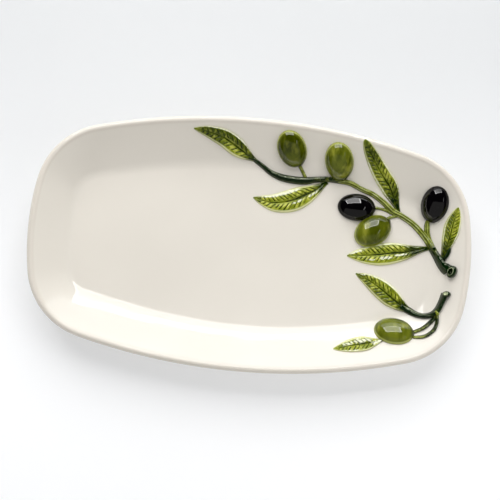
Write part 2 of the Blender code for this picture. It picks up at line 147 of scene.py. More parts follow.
# Twigs: points (x, y, half width, height, lightness of the green)
TWIGS = {
    "stem_main": [(-4, 72.8, 1.3, 1.6, 0.0), (5, 67.6, 1.6, 2.4, 0.0), (10, 64.2, 1.9, 2.8, 0.0),
                  (15, 61.8, 2.3, 3.0, 0.0), (22, 59.8, 2.8, 3.3, 0.0), (31, 58.8, 3.0, 3.4, 0.0),
                  (41, 58.9, 3.0, 3.5, 0.05), (50, 60.6, 2.3, 3.3, 0.1), (60, 61.8, 2.0, 3.1, 0.25),
                  (70, 61.2, 1.9, 3.0, 0.35), (80, 60.0, 1.9, 3.0, 0.7), (90, 55.8, 1.9, 3.0, 0.9),
                  (100, 52.3, 2.0, 3.1, 0.9), (110, 45.8, 2.3, 3.2, 0.8), (117, 40.0, 2.7, 3.4, 0.75),
                  (125, 36.4, 2.3, 3.3, 0.85), (134, 31.2, 2.4, 3.3, 0.9), (141, 25.2, 2.5, 3.4, 0.9),
                  (147, 18.8, 2.6, 3.5, 0.8), (151, 12.6, 2.5, 3.7, 0.35), (155.5, 5.0, 2.6, 3.9, 0.05),
                  (159.6, -2.2, 3.2, 4.3, 0.0), (162.4, -5.2, 4.1, 4.5, 0.0), (164.8, -7.2, 4.5, 4.4, 0.0)],
    "stem_low": [(129, -39.6, 2.4, 2.2, 0.0), (136, -42.6, 2.8, 2.8, 0.0), (142, -45.2, 2.3, 3.2, 0.0),
                 (148, -46.2, 2.0, 3.3, 0.05), (153.8, -44.8, 2.1, 3.3, 0.05), (157.8, -40.8, 2.1, 3.3, 0.05),
                 (160.4, -35, 2.0, 3.4, 0.0), (162.2, -29.6, 2.2, 3.9, 0.0), (163.2, -27.0, 2.6, 4.2, 0.0)],
    "stalk_upper_left": [(34, 72.5, 1.2, 2.2, 0.4), (37.6, 67.6, 1.1, 2.0, 0.8), (41.5, 61.5, 1.2, 2.4, 0.6)],
    "stalk_black_inner": [(100, 41.2, 1.5, 2.4, 0.5), (106, 41.1, 0.9, 1.8, 0.8), (112, 39.8, 1.0, 1.9, 0.9),
                          (116, 38, 1.1, 2.2, 0.9)],
    "stalk_middle": [(112.4, 31.6, 1.4, 2.4, 0.6), (115.5, 34.3, 1.1, 2.0, 0.7), (121, 36.2, 1.2, 2.4, 0.8)],
    "leaflet_slit": [(147.4, 35, 1.2, 2.0, 0.8), (147, 29, 2.0, 2.2, 0.6), (147.8, 23.4, 1.8, 2.2, 0.7),
                     (150.6, 16.6, 1.3, 2.2, 0.9), (154.6, 9.4, 1.1, 2.2, 1.0), (157, 5, 1.1, 2.4, 0.6)],
    "leaflet_base": [(164.6, 12.2, 0.8, 1.4, 0.1), (164.0, 9, 1.4, 2.0, 0.0), (162.8, 5.4, 1.5, 2.3, 0.0),
                     (160.6, 1.4, 1.2, 2.4, 0.0)],
    "stalk_low_inner": [(156.2, -43.4, 1.4, 2.4, 0.2), (155.4, -48, 1.2, 2.1, 0.1),
                        (151.6, -52.4, 1.2, 1.9, 0.2), (146.8, -56.6, 1.2, 1.9, 0.3),
                        (139.6, -60.4, 1.0, 1.8, 0.6)],
    "stalk_low_outer": [(157.2, -42.6, 1.5, 2.4, 0.3), (157.8, -49.6, 1.0, 2.0, 0.2),
                        (155.4, -56.6, 1.0, 1.8, 0.15), (150.4, -61.6, 1.0, 1.8, 0.2),
                        (145.4, -63.8, 1.1, 1.8, 0.4), (138.8, -64.6, 0.9, 1.6, 0.8)],
}

# Cut ends and the bud: centre (x, y), half length, half width, turn, height, depth of the hollow,
# lightness of the outside, and 1 for a pale heart or 0 for a dark one
BUTTONS = {
    "cut_end_main": (168.2, -8.6, 5.2, 3.0, -105.0, 5.8, 2.4, 0.0, 0.0),
    "cut_end_low": (165.0, -27.4, 2.8, 2.5, 30.0, 4.6, 0.5, 0.0, 1.0),
    "bud_low": (158.4, -43.6, 2.2, 1.4, -80.0, 3.4, 0.0, 0.6, 0.0),
}

# Camera, fitted to the rim in the photograph
CAMERA_LENS = 64.8
CAMERA_TURNS = (2.71, -5.19, -5.04)
CAMERA_OFFSET = (1.37, 5.22, -733.0)

# Studio, in metres: reach of the floor, and for each light its direction from the dish, distance, size,
# brightness, tint, extra brightness along its edge and whether it shows in the glaze
FLOOR_REACH = 8.0
SKY_STRENGTH = 0.93
PANELS = {
    "key": ((-0.12, 0.68, 0.73), 1.25, (1.2, 0.74), 3.4, (1.0, 0.99, 0.98), 2.2, True),
    "table_glow": ((0.0, -0.81, 0.59), 1.5, (3.0, 2.2), 0.21, (1.0, 0.98, 0.94), 0.0, True),
    "strip": ((0.56, -0.08, 0.83), 1.5, (0.42, 0.07), 2.5, (1.0, 1.0, 1.0), 0.0, True),
    "back_fill": ((0.0, 0.95, 0.30), 1.5, (2.4, 0.6), 1.75, (0.95, 0.99, 1.0), 0.0, True),
    "side_fill": ((0.80, -0.15, 0.60), 0.75, (0.5, 0.5), 1.05, (1.0, 1.0, 0.99), 0.0, False),
}


class Outline:
    """A rounded, barrel-sided rectangle made of three tangent arcs in each quarter."""

    def __init__(self, half_length, half_width, long_radius, short_radius, corner_radius):
        self.long_radius = long_radius
        self.short_radius = short_radius
        self.corner_radius = corner_radius
        self.long_centre = (0.0, half_width - long_radius)
        self.short_centre = (half_length - short_radius, 0.0)
        self.corner_centre = self.find_corner_centre()
        self.long_angle = self.angle_from(self.long_centre)
        self.short_angle = self.angle_from(self.short_centre)

    def find_corner_centre(self):
        """The point one corner radius inside both side arcs."""
        ax, ay = self.long_centre
        bx, by = self.short_centre
        gap = math.hypot(bx - ax, by - ay)
        ux, uy = (bx - ax) / gap, (by - ay) / gap
        reach_a = self.long_radius - self.corner_radius
        reach_b = self.short_radius - self.corner_radius
        along = (reach_a ** 2 - reach_b ** 2 + gap ** 2) / (2.0 * gap)
        across = math.sqrt(reach_a ** 2 - along ** 2)
        return (ax + along * ux + across * uy, ay + along * uy - across * ux)

    def angle_from(self, centre):
        dx = self.corner_centre[0] - centre[0]
        dy = self.corner_centre[1] - centre[1]
        return math.atan2(dy, dx)

    def inset(self, x, y):
        """Distance inward from the outline, negative outside it."""
        x, y = np.abs(x), np.abs(y)
        px, py = x - self.corner_centre[0], y - self.corner_centre[1]
        past_long = math.cos(self.long_angle) * py - math.sin(self.long_angle) * px <= 0.0
        past_short = math.cos(self.short_angle) * py - math.sin(self.short_angle) * px >= 0.0
        from_corner = self.corner_radius - np.hypot(px, py)
        from_long = self.long_radius - np.hypot(x - self.long_centre[0], y - self.long_centre[1])
        from_short = self.short_radius - np.hypot(x - self.short_centre[0], y - self.short_centre[1])
        return np.where(past_long & past_short, from_corner, np.minimum(from_long, from_short))

    def ring(self, inset, steps=(16, 24, 22)):
        """The whole outline, anticlockwise from +X."""
        arcs = [(self.short_centre, self.short_radius, 0.0, self.short_angle, steps[0]),
                (self.corner_centre, self.corner_radius, self.short_angle, self.long_angle, steps[1]),
                (self.long_centre, self.long_radius, self.long_angle, math.pi / 2.0, steps[2])]
        one = []
        for centre, radius, start, end, count in arcs:
            for angle in np.linspace(start, end, count, endpoint=False):
                one.append((centre[0] + (radius - inset) * math.cos(angle),
                            centre[1] + (radius - inset) * math.sin(angle)))
        one.append((0.0, self.long_centre[1] + self.long_radius - inset))
        two = [(-x, y) for x, y in reversed(one[:-1])]
        three = [(-x, -y) for x, y in one[1:]]
        four = [(x, -y) for x, y in reversed(one[1:-1])]
        return np.array(one + two + three + four)


RIM = Outline(*RIM_SIZES)
WELL = Outline(*WELL_SIZES)
LIP_INSET = LIP_RADIUS + LIP_RADIUS * math.sin(LIP_LOWER_ANGLE)
WALL_TOP_Z = LIP_CENTRE_Z + LIP_RADIUS * math.cos(LIP_LOWER_ANGLE)
OUTER_INSET = LIP_RADIUS - LIP_RADIUS * math.sin(LIP_LOWER_ANGLE)
OUTER_TOP_Z = LIP_CENTRE_Z - LIP_RADIUS * math.cos(LIP_LOWER_ANGLE)


# Shape of the dish's upper side

def floor_height(x, y):
    """Near-flat well floor that rises gently towards its crease."""
    out = (np.abs(x / WELL_SIZES[0]) ** 3 + np.abs(y / WELL_SIZES[1]) ** 3) ** (1.0 / 3.0)
    rise = np.clip((out - 0.62) / 0.38, 0.0, 1.2)
    return FLOOR_Z + FLOOR_RISE * rise * rise


def surface(x, y):
    """Height of the dish's upper surface over points of the plan."""
    x, y = np.asarray(x, dtype=float), np.asarray(y, dtype=float)
    inset = RIM.inset(x, y)
    outside = -WELL.inset(x, y)
    floor = floor_height(x, y)
    down = np.maximum(inset - LIP_INSET, 0.0)
    part = down / np.maximum(down + outside, 1e-6)
    fall = (1.0 - part) * (1.0 - WALL_BOW * part)
    wall = FLOOR_Z + FLOOR_RISE + (WALL_TOP_Z - FLOOR_Z - FLOOR_RISE) * fall
    near = np.maximum(CREASE_BLEND - np.abs(wall - floor), 0.0) / CREASE_BLEND
    both = np.maximum(wall, floor) + near * near * CREASE_BLEND / 4.0
    inside = np.where(outside < -DEEP_IN_WELL, floor, both)
    across = np.minimum(np.abs(LIP_RADIUS - inset), LIP_RADIUS)
    lip = LIP_CENTRE_Z + np.sqrt(LIP_RADIUS ** 2 - across ** 2)
    return np.where(inset < LIP_INSET, lip, inside)


def steepness(x, y):
    """How much a height has to grow, measured straight up, to keep its thickness on the slope."""
    dx = (surface(x + SLOPE_STEP, y) - surface(x - SLOPE_STEP, y)) / (2.0 * SLOPE_STEP)
    dy = (surface(x, y + SLOPE_STEP) - surface(x, y - SLOPE_STEP)) / (2.0 * SLOPE_STEP)
    return np.minimum(np.sqrt(1.0 + dx * dx + dy * dy), MOST_GROWTH)


# Mesh helpers

def smooth_path(points, steps):
    """Even samples of a smooth curve through the given points, of any dimension."""
    knots = np.array(points, dtype=float)
    ends = np.vstack([2 * knots[0] - knots[1], knots, 2 * knots[-1] - knots[-2]])
    dense = []
    for i in range(1, len(ends) - 2):
        p0, p1, p2, p3 = ends[i - 1:i + 3]
        for t in np.linspace(0.0, 1.0, 24, endpoint=False):
            dense.append(0.5 * (2 * p1 + (p2 - p0) * t + (2 * p0 - 5 * p1 + 4 * p2 - p3) * t ** 2
                                + (3 * p1 - p0 - 3 * p2 + p3) * t ** 3))
    dense.append(knots[-1])
    dense = np.array(dense)
    run = np.concatenate([[0.0], np.cumsum(np.hypot(*np.diff(dense[:, :2], axis=0).T))])
    want = np.linspace(0.0, run[-1], steps + 1)
    path = np.array([np.interp(want, run, dense[:, k]) for k in range(dense.shape[1])]).T
    return path, run[-1]


def side_vectors(path):
    """Unit vectors to the left of a plan path."""
    ahead = np.gradient(path[:, :2], axis=0)
    ahead /= np.hypot(ahead[:, 0], ahead[:, 1])[:, None]
    return np.stack([-ahead[:, 1], ahead[:, 0]], axis=1)


def make_piece(name, vertices, faces, marks, material):
    """A closed mesh with its named values per point, its material and its place in the frame."""
    mesh = bpy.data.meshes.new(name)
    mesh.from_pydata((np.asarray(vertices) * MM).tolist(), [], faces)
    for key, values in marks.items():
        layer = mesh.attributes.new(key, "FLOAT", "POINT")
        layer.data.foreach_set("value", np.asarray(values, dtype=np.float32).ravel())
    mesh.shade_smooth()
    mesh.update()
    piece = bpy.data.objects.new(name, mesh)
    bpy.context.scene.collection.objects.link(piece)
    mesh.materials.append(material)
    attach(piece, "root")
    return piece


def loft_faces(sections, count):
    """Faces of a closed body through equal rings of points, with flat ends."""
    faces = []
    for i in range(sections - 1):
        for j in range(count):
            k = (j + 1) % count
            faces.append((i * count + j, i * count + k, (i + 1) * count + k, (i + 1) * count + j))
    last = (sections - 1) * count
    faces.append(tuple(reversed(range(count))))
    faces.append(tuple(last + j for j in range(count)))
    return faces


def hump(values, centre, width):
    return np.exp(-((values - centre) / width) ** 2)


def ease(values, low, high):
    share = np.clip((values - low) / (high - low), 0.0, 1.0)
    return share * share * (3.0 - 2.0 * share)


# The dish

def dish_rings():
    """Rings from the well's middle over the lip to the middle of the base."""
    crease = WELL.ring(0.0)
    rings = [(crease * share, None) for share in np.linspace(0.06, 0.86, 14)]
    rings += [(WELL.ring(inset), None) for inset in np.arange(6.0, -5.1, -0.75)]
    top = RIM.ring(LIP_INSET)
    rings += [(top + (crease - top) * part, None) for part in np.linspace(0.78, 0.04, 20)]
    for turn in np.radians(np.linspace(-43.0, 137.0, 22)):
        inset = LIP_RADIUS - LIP_RADIUS * math.sin(turn)
        rings.append((RIM.ring(inset), LIP_CENTRE_Z + LIP_RADIUS * math.cos(turn)))
    top = RIM.ring(OUTER_INSET)
    crease = WELL.ring(OUTER_CREASE_INSET)
    for part in np.linspace(0.08, 1.0, 12):
        fall = (1.0 - part) * (1.0 - WALL_BOW * part)
        level = OUTER_WALL_FOOT_Z + (OUTER_TOP_Z - OUTER_WALL_FOOT_Z) * fall
        rings.append((top + (crease - top) * part, level))
    rings += [(WELL.ring(inset), height) for inset, height in FOOT_SECTION]
    inner = WELL.ring(FOOT_SECTION[-1][0])
    rings += [(inner * share, BASE_Z) for share in (0.9, 0.7, 0.45, 0.2)]
    return rings


def hand_wave(x, y):
    """Slight unevenness of the cast clay under the glaze."""
    wave = np.sin(0.061 * x + 0.9) * np.sin(0.083 * y + 0.4) + 0.6 * np.sin(0.113 * x - 0.071 * y + 2.0)
    return CLAY_WAVE * wave


def make_dish(material):
    points = []
    for ring, height in dish_rings():
        if height is None:
            x, y = ring[:, 0], ring[:, 1]
            level = surface(x, y) + hand_wave(x, y) * ease(RIM.inset(x, y), 6.0, 14.0)
        else:
            level = np.full(len(ring), float(height))
        points.append(np.column_stack([ring, level]))
    count = len(points[0])
    last = (len(points) - 1) * count
    vertices = np.vstack(points + [[(0.0, 0.0, FLOOR_Z), (0.0, 0.0, BASE_Z)]])
    top = len(vertices) - 2
    faces = []
    for j in range(count):
        k = (j + 1) % count
        faces.append((top, j, k))
        faces.append((last + k, last + j, top + 1))
        for i in range(len(points) - 1):
            faces.append((i * count + j, (i + 1) * count + j, (i + 1) * count + k, i * count + k))
    dish = make_piece("dish", vertices, faces, {}, material)
    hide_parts("platter")


# Leaves

def leaf_width(part, belly, fullness):
    """Lance-shaped width from base 0 to tip 1, as a share of the greatest width."""
    grown = np.clip(part / belly, 0.0, 1.0)
    left = np.clip((1.0 - part) / (1.0 - belly), 0.0, 1.0)
    rising = 0.16 + 0.84 * np.sin(0.5 * math.pi * grown) ** 1.5
    falling = np.maximum(np.sin(0.5 * math.pi * left) ** fullness, 0.05)
    return np.where(part < belly, rising, falling)


def side_veins(along, across, half, length, spacing, seed):
    """Slanted slots between the midrib and the margin, 1 in the middle of a slot."""
    chance = np.random.default_rng(seed)
    reach = np.abs(across) * half
    slots = np.zeros_like(along)
    for sign in (1.0, -1.0):
        place = 0.17 * length
        while place < 0.90 * length:
            start = place + chance.uniform(-0.4, 0.4)
            inner = 0.17 + chance.uniform(-0.05, 0.06)
            outer = 0.74 + chance.uniform(-0.12, 0.06)
            width = (0.15 + chance.uniform(-0.02, 0.04)) * spacing
            off = along * length - 0.95 * reach - start
            line = np.exp(-(off / width) ** 2)
            window = ease(np.abs(across), inner - 0.08, inner + 0.04)
            window = window * (1.0 - ease(np.abs(across), outer - 0.06, outer + 0.08))
            slots = np.maximum(slots, line * window * (across * sign > 0.0))
            place += spacing * chance.uniform(0.92, 1.08)
    return slots


def leaf_relief(along, across, half, length, height, spacing, seed):
    """Height of the leaf over the dish, and the carved, margin and rib marks."""
    edge = np.abs(across)
    body = ease(along, 0.02, 0.14) * (1.0 - ease(along, 0.93, 1.0))
    slots = side_veins(along, across, half, length, spacing, seed) * body
    rib = hump(across, 0.0, 0.06) * ease(along, 0.04, 0.16) * (1.0 - ease(along, 0.84, 0.95))
    margin = hump(edge, 0.93, 0.08)
    pillow = np.sin(math.pi * np.clip(edge, 0.0, 1.0) ** 0.9)
    profile = 0.46 + 0.16 * margin * body
    rounding = 1.0 - 0.40 * ease(edge, 0.93, 1.0)
    lift = (height * profile + 0.20 * half * pillow * body) * rounding - VEIN_DEPTH * slots - RIB_DEPTH * rib
    crest = np.clip(pillow, 0.0, 1.0) * (1.0 - slots) * body
    return np.maximum(lift, LEAST_LIFT), slots, margin, rib, crest


def make_leaf(name, material, seed):
    points, width, belly, fullness, tip_height = LEAVES[name]
    dark_left, dark_right, wash, base_reach, spacing = LEAF_PAINT[name]
    path, length = smooth_path(points, LEAF_STEPS)
    sides = side_vectors(path)
    along = np.linspace(0.0, 1.0, len(path))[:, None]
    across = np.linspace(1.0, -1.0, LEAF_COLUMNS)[None, :]
    half = 0.5 * width * leaf_width(along, belly, fullness)
    height = LEAF_HEIGHT + (tip_height - LEAF_HEIGHT) * along ** 3
    along_all = np.repeat(along, across.shape[1], axis=1)
    across_all = np.repeat(across, len(path), axis=0)
    lift, slots, margin, rib, crest = leaf_relief(along_all, across_all, half, length, height, spacing, seed)
    x = path[:, 0:1] + sides[:, 0:1] * half * across
    y = path[:, 1:2] + sides[:, 1:2] * half * across
    top = np.stack([x, y, surface(x, y) + lift * steepness(x, y)], axis=-1)
    under = []
    for place, spread, depth in ((-1.0, 0.35, 0.25), (-1.0, 0.75, -SINK), (0.0, 0.0, -SINK),
                                 (1.0, 0.75, -SINK), (1.0, 0.35, 0.25)):
        ux = path[:, 0] + sides[:, 0] * (half[:, 0] * place + spread * place)
        uy = path[:, 1] + sides[:, 1] * (half[:, 0] * place + spread * place)
        under.append(np.stack([ux, uy, surface(ux, uy) + depth], axis=-1)[:, None, :])
    rings = np.concatenate([top] + under, axis=1)
    blank = np.zeros((len(path), 5))
    dark = leaf_shade(along_all, across_all, (dark_left, dark_right), wash, base_reach)
    # Painted highlights, carried to the glaze in the pale mark
    pale = leaf_painted_highlights(along_all, across_all, LEAF_PAINTED_HIGHLIGHTS[name])
    marks = {
        "carve": np.concatenate([np.maximum(slots, rib), blank], axis=1),
        "margin": np.concatenate([margin, blank + 1.0], axis=1),
        "crest": np.concatenate([crest, blank], axis=1),
        "dark": np.concatenate([dark, np.repeat(dark[:, -1:], 5, axis=1)], axis=1),
        "pale": np.concatenate([pale, blank], axis=1),
    }
    faces = loft_faces(len(path), rings.shape[1])
    make_piece(name, rings.reshape(-1, 3), faces, marks, material)


def leaf_shade(along, across, sides, wash, base_reach):
    """Where the brush laid darker green: the base, a streak along the rib, the tip and one half."""
    base = 1.0 - ease(along, 0.2 * base_reach, base_reach)
    streak = hump(across, 0.0, 0.22) * (1.0 - ease(along, 0.35, 0.7))
    tip = 0.65 * ease(along, wash, wash + 0.18)
    halves = np.where(across > 0.0, sides[0], sides[1]) * ease(np.abs(across), 0.0, 0.3)
    return np.clip(np.maximum(np.maximum(base, 0.8 * streak), np.maximum(tip, halves)), 0.0, 1.0)


def leaf_painted_highlights(along, across, patches):
    """Painted highlights: pale patches where the glaze catches the light."""
    pale = np.zeros_like(along)
    for place, side, reach_along, reach_across, strength in patches:
        near = np.exp(-((along - place) / reach_along) ** 4 - ((across - side) / reach_across) ** 2)
        pale = np.maximum(pale, strength * near)
    return pale


# Twigs

def make_twig(name, points, material, seed):
    length = sum(math.dist(a[:2], b[:2]) for a, b in zip(points, points[1:]))
    path, length = smooth_path(points, max(10, round(length / TWIG_SPACING)))
    sides = side_vectors(path)
    across = np.linspace(1.0, -1.0, TWIG_COLUMNS)[None, :]
    half = path[:, 2:3]
    tall = path[:, 3:4]
    tone = path[:, 4:5]
    run = np.linspace(0.0, length, len(path))[:, None]
    knots = 1.0 + 0.05 * np.sin(run * 0.9 + seed) + 0.04 * np.sin(run * 0.37 + 2.0 * seed)
    strands = 0.5 + 0.5 * np.cos(7.5 * across + 0.7 * np.sin(run * 0.11 + seed) + 0.6)
    lift = tall * knots * (0.18 + 0.82 * np.sqrt(np.maximum(1.0 - across ** 2, 0.0)))
    lift = lift - (0.04 + 0.17 * tone) * half * (1.0 - strands) * (1.0 - across ** 2)
    x = path[:, 0:1] + sides[:, 0:1] * half * across
    y = path[:, 1:2] + sides[:, 1:2] * half * across
    top = np.stack([x, y, surface(x, y) + lift * steepness(x, y)], axis=-1)
    under = []
    for place, spread, depth in ((-1.0, 0.3, 0.15), (-1.0, 0.5, -SINK), (1.0, 0.5, -SINK), (1.0, 0.3, 0.15)):
        ux = path[:, 0] + sides[:, 0] * (half[:, 0] + spread) * place
        uy = path[:, 1] + sides[:, 1] * (half[:, 0] + spread) * place
        under.append(np.stack([ux, uy, surface(ux, uy) + depth], axis=-1)[:, None, :])
    rings = np.concatenate([top] + under, axis=1)
    facing = np.abs(sides[:, 1:2])
    # Painted highlight: a pale line along the edge of a dark twig that faces the key light, made by lowering
    # the groove mark
    line = hump(across * sides[:, 1:2], 0.5 * facing, 0.11) * ease(facing, 0.35, 0.7)
    groove_and_highlight = (1.0 - strands) * (0.25 + 0.75 * tone) + 0.35 * (1.0 - tone)
    groove_and_highlight = groove_and_highlight * (1.0 - line * (1.0 - tone))
    groove_and_highlight = np.concatenate([groove_and_highlight, np.ones((len(path), 4))], axis=1)
    light = np.repeat(tone, rings.shape[1], axis=1)
    rim = np.concatenate([np.repeat(across ** 4, len(path), axis=0), np.ones((len(path), 4))], axis=1)
    marks = {"groove_and_highlight": groove_and_highlight, "light": light, "rim": rim}
    faces = loft_faces(len(path), rings.shape[1])
    make_piece(name, rings.reshape(-1, 3), faces, marks, material)


# Domed pieces: olives, cut ends and the bud

def slope_at(x, y, reach):
    """Mean slope of the dish over a footprint."""
    dx = float(surface(x + reach, y) - surface(x - reach, y)) / (2.0 * reach)
    dy = float(surface(x, y + reach) - surface(x, y - reach)) / (2.0 * reach)
    return dx, dy


def dome(cx, cy, half_length, half_width, turn, levels, around, nib=0.0):
    """Rings of a domed body that stands square on the dish, with its closing top point."""
    dx, dy = slope_at(cx, cy, 0.7 * half_width)
    grow = math.sqrt(1.0 + dx * dx + dy * dy)
    base = float(surface(cx, cy))
    angle = math.radians(turn)
    spin = np.linspace(0.0, 2.0 * math.pi, around, endpoint=False)
    point = 1.0 + nib * np.exp(-(np.minimum(spin, 2.0 * math.pi - spin) / 0.16) ** 2)
    vertices = []
    rise = []
    ends = []
    for size, lift in levels:
        u = size * half_length * np.cos(spin) * point
        v = size * half_width * np.sin(spin)
        x = u * math.cos(angle) - v * math.sin(angle)
        y = u * math.sin(angle) + v * math.cos(angle)
        out = max(lift, 0.0) / grow
        level = base + dx * x + dy * y + lift / grow
        vertices.append(np.column_stack([cx + x - out * dx, cy + y - out * dy, level]))
        rise.append(np.full(around, 1.0 - size))
        ends.append(u / half_length)
    out = levels[-1][1] / grow
    vertices.append([(cx - out * dx, cy - out * dy, base + out)])
    rise.append([1.0])
    ends.append([0.0])
    return np.vstack(vertices), np.concatenate(rise), np.concatenate(ends)


def dome_faces(levels, around, total):
    faces = [tuple(reversed(range(around)))]
    for i in range(levels - 1):
        for j in range(around):
            k = (j + 1) % around
            faces.append((i * around + j, i * around + k, (i + 1) * around + k, (i + 1) * around + j))
    last = (levels - 1) * around
    faces += [(last + j, last + (j + 1) % around, total - 1) for j in range(around)]
    return faces


def make_olive(name, values, material):
    cx, cy, half_length, half_width, turn, bulge, light = values
    levels = [(0.95, -3.0), (0.985, -0.6), (0.998, 0.1)]
    for tilt in np.linspace(2.0, 89.0, 46):
        level = math.radians(tilt)
        levels.append((math.cos(level), OLIVE_SKIRT + (bulge - OLIVE_SKIRT) * math.sin(level)))
    vertices, rise, ends = dome(cx, cy, half_length, half_width, turn, levels, OLIVE_POINTS, nib=0.035)
    faces = dome_faces(len(levels), OLIVE_POINTS, len(vertices))
    marks = {"rise": rise, "ends": ends, "light": np.full(len(vertices), light)}
    make_piece(name, vertices, faces, marks, material)


def make_button(name, values, material):
    cx, cy, half_length, half_width, turn, height, hollow, light, heart = values
    levels = [(1.0, -1.2), (1.0, 0.55 * height)]
    for level in np.radians(np.linspace(10.0, 60.0, 8)):
        rise = math.sin(level) / math.sin(math.radians(60.0))
        levels.append((math.cos(level), height * (0.55 + 0.45 * rise)))
    for size in np.linspace(0.46, 0.04, 10):
        levels.append((size, height - hollow * (1.0 - (size / 0.5) ** 2)))
    vertices, rise, _ = dome(cx, cy, half_length, half_width, turn, levels, BUTTON_POINTS)
    faces = dome_faces(len(levels), BUTTON_POINTS, len(vertices))
    cut = ease(rise, 0.47, 0.60) * (1.0 if hollow else 0.0)
    # Painted highlight: a pale ring round the rim of a hollow cut end, made by lowering the groove mark
    lip = hump(rise, 0.40, 0.05) * (1.0 if hollow else 0.0)
    groove_and_highlight = (0.3 - 0.3 * lip) * (1.0 - cut) + (1.0 - heart) * cut
    marks = {"groove_and_highlight": groove_and_highlight, "light": np.full(len(vertices), light), "rim": 0.0 * rise}
    make_piece(name, vertices, faces, marks, material)


# Materials

def linear(red, green, blue):
    """A colour given as the eye sees it, 0 to 255, for a shader socket."""
    out = []
    for part in (red, green, blue):
        share = part / 255.0
        out.append(share / 12.92 if share <= 0.04045 else ((share + 0.055) / 1.055) ** 2.4)
    return (out[0], out[1], out[2], 1.0)


class Nodes:
    """Short calls for building one material's node tree."""

    def __init__(self, name):
        self.material = bpy.data.materials.new(name)
        self.material.use_nodes = True
        self.tree = self.material.node_tree
        self.shader = self.tree.nodes["Principled BSDF"]

    def new(self, kind, **settings):
        node = self.tree.nodes.new(kind)
        for key, value in settings.items():
            setattr(node, key, value)
        return node

    def link(self, source, target):
        self.tree.links.new(source, target)

    def place(self):
        return self.new("ShaderNodeTexCoord").outputs["Object"]

    def mark(self, name):
        return self.new("ShaderNodeAttribute", attribute_name=name).outputs["Fac"]

    def noise(self, scale, detail=3.0, roughness=0.5, stretch=None, turn=0.0):
        """Noise over the piece, the scale in features per metre."""
        node = self.new("ShaderNodeTexNoise")
        node.inputs["Scale"].default_value = scale
        node.inputs["Detail"].default_value = detail
        node.inputs["Roughness"].default_value = roughness
        source = self.place()
        if stretch:
            mapping = self.new("ShaderNodeMapping")
            mapping.inputs["Scale"].default_value = stretch
            mapping.inputs["Rotation"].default_value = (0.0, 0.0, turn)
            self.link(source, mapping.inputs["Vector"])
            source = mapping.outputs["Vector"]
        self.link(source, node.inputs["Vector"])
        return node.outputs["Fac"]

    def fit(self, source, low, high, new_low=0.0, new_high=1.0):
        node = self.new("ShaderNodeMapRange", interpolation_type="SMOOTHSTEP")
        node.inputs["From Min"].default_value = low
        node.inputs["From Max"].default_value = high
        node.inputs["To Min"].default_value = new_low
        node.inputs["To Max"].default_value = new_high
        self.link(source, node.inputs["Value"])
        return node.outputs["Result"]

    def math(self, operation, first, second):
        node = self.new("ShaderNodeMath", operation=operation)
        for socket, value in zip(node.inputs, (first, second)):
            if isinstance(value, (int, float)):
                socket.default_value = value
            else:
                self.link(value, socket)
        return node.outputs["Value"]

    def mix(self, share, first, second):
        node = self.new("ShaderNodeMix", data_type="RGBA")
        self.link(share, node.inputs[0])
        for socket, value in ((node.inputs[6], first), (node.inputs[7], second)):
            if isinstance(value, tuple):
                socket.default_value = value
            else:
                self.link(value, socket)
        return node.outputs[2]

    def bump(self, height, strength, distance):
        node = self.new("ShaderNodeBump")
        node.inputs["Strength"].default_value = strength
        node.inputs["Distance"].default_value = distance
        self.link(height, node.inputs["Height"])
        self.link(node.outputs["Normal"], self.shader.inputs["Normal"])

    def finish(self, colour, roughness, ior=1.52, tint=(1.0, 1.0, 1.0, 1.0)):
        self.link(colour, self.shader.inputs["Base Color"])
        self.link(roughness, self.shader.inputs["Roughness"])
        self.shader.inputs["IOR"].default_value = ior
        self.shader.inputs["Specular Tint"].default_value = tint
        self.shader.inputs["Metallic"].default_value = 0.0
        return self.material


def cream_glaze():
    nodes = Nodes("cream_glaze")
    pool = nodes.fit(nodes.noise(9.0, 2.0), 0.35, 0.65)
    colour = nodes.mix(pool, linear(223, 218, 209), linear(227, 222, 213))
    height = nodes.new("ShaderNodeSeparateXYZ")
    nodes.link(nodes.place(), height.inputs["Vector"])
    edge = nodes.fit(height.outputs["Z"], 0.0298, 0.0314, 0.0, 0.6)
    colour = nodes.mix(edge, colour, linear(212, 205, 195))
    speck = nodes.fit(nodes.noise(520.0, 1.0), 0.76, 0.80, 0.0, 0.12)
    colour = nodes.mix(speck, colour, linear(205, 192, 170))
    roughness = nodes.fit(nodes.noise(60.0, 3.0), 0.3, 0.7, 0.05, 0.09)
    peel = nodes.math("MULTIPLY", nodes.noise(260.0, 2.0), 0.05)
    nodes.bump(nodes.math("ADD", nodes.noise(22.0, 2.0), peel), 0.3, 0.0012)
    return nodes.finish(colour, roughness, 1.55)


